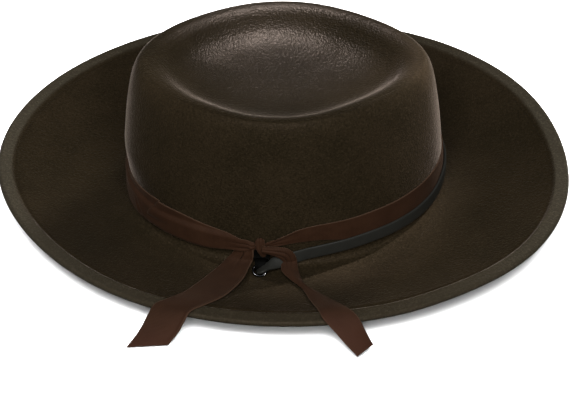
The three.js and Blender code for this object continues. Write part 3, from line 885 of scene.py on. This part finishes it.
tailRightRows = [   # gathered below the knot, then opening out over the brim
    {"angleA": 263.2, "upA": 0.168, "angleB": 263.2, "upB": 0.214, "lift": 4.2},
    {"angleA": 265.6, "upA": 0.160, "angleB": 265.8, "upB": 0.216, "lift": 4.8},
    {"angleA": 267.8, "upA": 0.140, "angleB": 268.6, "upB": 0.218, "lift": 5.2},
    {"angleA": 269.3, "upA": 0.118, "angleB": 271.6, "upB": 0.208, "lift": 5.6},
    {"angleA": 269.7, "upA": 0.070, "angleB": 273.7, "upB": 0.155, "lift": 5.4},
    {"angleA": 269.6, "upA": 0, "angleB": 274.5, "upB": 0.02, "lift": 4.6},
    {"angleA": 269.7, "upA": -0.092, "angleB": 274.6, "upB": -0.09, "lift": 3},
    {"angleA": 272.3, "upA": -0.205, "angleB": 275.1, "upB": -0.2, "lift": 1.4},
    {"angleA": 274.7, "upA": -0.325, "angleB": 276, "upB": -0.305, "lift": 0.9},
    {"angleA": 275.4, "upA": -0.42, "angleB": 278.4, "upB": -0.43, "lift": 0.7},
    {"angleA": 276.2, "upA": -0.6, "angleB": 280.8, "upB": -0.6, "lift": 0.7},
    {"angleA": 277, "upA": -0.78, "angleB": 282.8, "upB": -0.78, "lift": 0.7},
    {"angleA": 277.6, "upA": -0.88, "angleB": 284, "upB": -0.88, "lift": 0.9},
    {"angleA": 279.2, "upA": -0.97, "angleB": 284.8, "upB": -0.96, "hang": 1.25},
    {"angleA": 281, "upA": -1.07, "angleB": 285.4, "upB": -1, "hang": 0.7},
    {"angleA": 282.5, "upA": -1.16, "angleB": 286, "upB": -1.05, "hang": 0.25},
]
knotRows = rowsOf("angleA upA angleB upB lift", [   # the short wrap of the knot, from its top down
    (261.4, 0.238, 263.1, 0.240, 0.3),
    (260.9, 0.254, 263.6, 0.258, 1.2),
    (260.5, 0.245, 263.9, 0.248, 2.6),
    (260.5, 0.215, 264.0, 0.220, 3.4),
    (261.1, 0.175, 264.1, 0.175, 3.6),
    (262.0, 0.135, 264.5, 0.128, 2.8),
    (262.4, 0.122, 264.4, 0.118, 1.0),
])


def tailEdges(rows):
    # edges A and B: on the felt, or hanging free past the brim where a row says hang
    edges = []
    for side in "AB":
        angle = np.radians([row["angle" + side] for row in rows])
        up = felt["brim"] * np.array([row["up" + side] for row in rows])
        lift = np.array([row.get("lift" + side, row.get("lift", 0)) for row in rows])
        lift = ribbon["clearance"] + tail["liftStep"] * lift
        hang = np.array(["hang" in row for row in rows])
        height = ribbon["clearance"] + felt["footRise"] * np.array([row.get("hang", 0) for row in rows])
        free = spread(angle, felt["footRadius"] - up, height)
        edges.append(np.where(hang[:, None], free, onFelt(angle, up, lift)))
    return edges


def ribbonTail(name, rows, look, thickness=ribbon["thickness"]):
    # between the two edges A and B, lifted off their plane by an arch, by folds near the knot,
    # by a rolled edge and by one crease
    a, b = (smoothCurve(edge, tail["perRow"]) for edge in tailEdges(rows))
    share = np.linspace(0, 1, tail["across"])
    middle = tail["across"] // 2
    points = a[:, None] * (1 - share)[None, :, None] + b[:, None] * share[None, :, None]
    steps = np.gradient(points, axis=0)
    sides = (b - a)[:, None]
    face = np.cross(steps, np.broadcast_to(sides, steps.shape))
    face /= np.linalg.norm(face, axis=-1, keepdims=True)
    face *= np.where((face * tail["facing"]).sum(axis=-1, keepdims=True) < 0, -1, 1)
    wide = np.linalg.norm(b - a, axis=1)
    narrow = np.clip(1 - (wide / wide.max()) ** 2, 0, 1)[:, None]
    along = lengthAlong(points[:, middle])[:, None]
    arch = look["arch"] * np.sin(np.pi * share)[None, :] ** look["round"] * (0.25 + narrow)
    near = np.exp(-(along / look["reach"]) ** 2)
    ridges = np.abs(np.sin(np.pi * (share[None, :] * look["folds"] + 0.15))) ** 0.7
    folds = look["fold"] * near * (ridges - 0.6)
    hem = look.get("hem", 0) * np.exp(-((share[None, :] - tail["hemAt"]) / tail["markWide"]) ** 2)
    crease = np.exp(-((share[None, :] - tail["creaseAt"]) / tail["markWide"]) ** 2)
    crease = crease * np.exp(-(along / tail["creaseLong"]) ** 2)
    points = points + face * (arch + folds + hem - look.get("crease", 0) * crease)[..., None]
    along = lengthAlong(points[:, middle])
    piece = gridPiece(name, points, cut=(along, share * ribbon["width"]))
    start = points[0, middle]
    turned = np.cross(points[1, middle] - start, points[0, middle + 1] - start)
    thicken(piece, thickness, 1.0 if (turned * face[0, middle]).sum() > 0 else -1.0)
    diagonals = np.cross(points[1:, 1:] - points[:-1, :-1], points[1:, :-1] - points[:-1, 1:])
    return piece, along[-1], float(np.linalg.norm(diagonals, axis=-1).sum() / 2)


looks = {   # heights in metres; folds is their count, reach how far from the knot they run
    "left": {"arch": 0.0009, "round": 1.0, "fold": 0.0007, "folds": 2.4, "reach": 0.014,
             "hem": 0.0007, "crease": 0.0012},
    "right": {"arch": 0.0012, "round": 1.0, "fold": 0.0015, "folds": 2.8, "reach": 0.019},
    "wrap": {"arch": 0.0019, "round": 0.6, "fold": 0.0007, "folds": 2.2, "reach": 0.009},
    "loop": {"arch": 0.0004, "round": 1.0, "fold": 0, "folds": 1, "reach": 0.01},
}

for name, node, rows, look in (("ribbon_end_left", "ribbon_tail_left", tailLeftRows, looks["left"]),
                               ("ribbon_end_right", "ribbon_tail_right", tailRightRows, looks["right"])):
    freeEnd, tailLength, tailArea = ribbonTail(name, rows, look)
    finishPiece(freeEnd, grosgrain, "ribbon", node)
    print("hat:", name, "mm", round(tailLength * 1000), "area mm2", round(tailArea * 1e6))


# knot and ring

wrap = ribbonTail("ribbon_knot_tied", knotRows, looks["wrap"])[0]
finishPiece(wrap, grosgrain, "ribbon", "ribbon_knot")

# the strap's other end, out from under the ribbon and down through the ring
loopRows = rowsOf("angleA upA angleB upB lift", [
    (259.9, 0.17, 265.2, 0.17, 0.6),
    (259.9, 0.12, 265.6, 0.12, 1.6),
    (260.1, 0.06, 265.4, 0.06, 3.6),
    (260.6, 0.01, 264.9, 0.01, 5.6),
    (261.1, -0.035, 264.4, -0.035, 6.4),
    (261.5, -0.062, 264.0, -0.062, 4.4),
    (261.6, -0.068, 263.9, -0.068, 2.2),
])
loop = {"thickness": 0.0015, "level": 0.1}   # leather darkened as painted shade, for the end in the shadow under the knot
loopEnd = ribbonTail("leather_loop_end", loopRows, looks["loop"], loop["thickness"])[0]
# painted shade: a darkened copy of the strap's leather for the loop end under the knot
shadedLoopLeather = leatherFinish("strap_leather_painted_shade", leatherTones, loop["level"])
finishPiece(loopEnd, shadedLoopLeather, "leather", "leather_strap")

ring = {"diameter": 0.0097, "wire": 0.0014, "angle": math.radians(262.85), "tilt": math.radians(25),
        "down": 0.69, "off": 0.28}   # its centre below the foot's round and off the felt, in diameters


def strapRing():
    # a round wire bent into a circle, leaning on the foot of the crown
    turn = np.linspace(0, 2 * np.pi, 96, endpoint=False)[:, None]
    wire = np.linspace(0, 2 * np.pi, 28, endpoint=False)[None, :]
    radius = (ring["diameter"] - ring["wire"]) / 2 + ring["wire"] / 2 * np.cos(wire)
    x, y, z = radius * np.cos(turn), radius * np.sin(turn), ring["wire"] / 2 * np.sin(wire) + 0 * turn
    c, s = math.cos(ring["tilt"]), math.sin(ring["tilt"])
    points = np.stack([x, y * c - z * s, y * s + z * c], axis=-1)
    centre = onFelt(ring["angle"], -ring["diameter"] * ring["down"], ring["diameter"] * ring["off"])
    return outward(gridPiece("ring_on_strap", points + centre, closedAlong=True, closedAcross=True))


strapHoop = finishPiece(strapRing(), ringFinish(metalColours), "metal", "strap_ring")
print("hat: knot and ring")


# floor and light

def makeStage(side=6.0):
    # one large square sheet of white paper
    mesh = bpy.data.meshes.new("floor")
    corners = [(-side, -side, 0), (side, -side, 0), (side, side, 0), (-side, side, 0)]
    mesh.from_pydata(corners, [], [(0, 1, 2, 3)])
    floor = bpy.data.objects.new("floor", mesh)
    bpy.context.scene.collection.objects.link(floor)
    paper = Finish("paper")
    white = rgb(0.93, 0.93, 0.93)
    mesh.materials.append(paper.shade(Base_Color=white, Roughness=0.9, Specular_IOR_Level=0.1))
    floor.visible_diffuse = False   # lit to pure white, it would light the hat from below
    floor.visible_glossy = False
    return floor


lamps = [   # a "felt" lamp lights the hat's felt alone; "shine" is seen in gloss alone, "soft" without gloss
    {"name": "front_lamp", "at": (0.0, -1.25, 1.15), "size": 1.2, "power": 32, "kind": "soft"},
    {"name": "front_shine", "at": (0.0, -0.9, 1.5), "size": 1.2, "power": 10, "kind": "shine"},
    {"name": "top_shine", "at": (0.13, 0.62, 1.40), "aim": (0.014, 0.055, 0.085), "size": 0.06,
     "beam": 7.5, "power": 210, "kind": "shine", "only": "felt"},
    {"name": "right_shoulder_lamp", "at": (0.8, 0.55, 0.9), "aim": (0.104, 0.004, 0.086), "size": 0.05,
     "beam": 5, "power": 210, "kind": "soft", "only": "felt", "colour": (1, 0.98, 1.15)},
    {"name": "left_shoulder_lamp", "at": (-0.8, 0.55, 0.9), "aim": (-0.096, -0.012, 0.086), "size": 0.05,
     "beam": 4, "power": 60, "kind": "soft", "only": "felt", "colour": (1, 1, 1.1)},
    {"name": "back_right_lamp", "at": (0.60, 1.1, 0.30), "size": 0.3, "power": 24, "kind": "soft"},
    {"name": "back_left_lamp", "at": (-0.6, 1.1, 0.30), "size": 0.3, "power": 5, "kind": "soft"},
]
for name, place in (("left", (-0.9, 0.9, 0.8)), ("low", (-0.7, -0.6, 1.2)), ("right", (0.7, -0.6, 1.2))):
    lamps.append({"name": "ring_shine_" + name, "at": place, "size": 0.25, "power": 30, "kind": "shine",
                  "only": "ring"})
lamps.append({"name": "table_lamp", "at": (0.0, -0.2, 1.6), "size": 2.0, "power": 160, "only": "table"})


def makeLights(rows, floor, sky=0.05):
    # every lamp of the table, and a faint even light from all round
    lit = {}
    for part, item in (("table", floor), ("felt", hat), ("ring", strapHoop)):
        lit[part] = bpy.data.collections.new(part)
        lit[part].objects.link(item)
    for row in rows:
        data = bpy.data.lights.new(row["name"], "SPOT" if "beam" in row else "AREA")
        data.energy = row["power"]
        data.color = row.get("colour", (1, 1, 1))
        if "beam" in row:
            data.spot_size = math.radians(row["beam"])   # a narrow lamp, fading out from its middle
            data.spot_blend = 1
            data.shadow_soft_size = row["size"] / 2
        else:
            data.size = row["size"]
        lamp = bpy.data.objects.new(row["name"], data)
        lamp.location = row["at"]
        lamp.rotation_mode = "QUATERNION"
        beam = Vector(row.get("aim", (0, 0, 0.04))) - Vector(row["at"])
        lamp.rotation_quaternion = beam.to_track_quat("-Z", "Y")
        bpy.context.scene.collection.objects.link(lamp)
        if "only" in row:
            lamp.light_linking.receiver_collection = lit[row["only"]]
        lamp.visible_diffuse = row.get("kind") != "shine"
        lamp.visible_glossy = row.get("kind") != "soft"
    world = bpy.data.worlds.new("studio")
    world.use_nodes = True
    back = world.node_tree.nodes["Background"]
    back.inputs["Color"].default_value = rgb(1, 1, 1)
    back.inputs["Strength"].default_value = sky
    bpy.context.scene.world = world
    bpy.context.scene.view_settings.view_transform = "Standard"


makeLights(lamps, makeStage())
print("hat: floor and light")
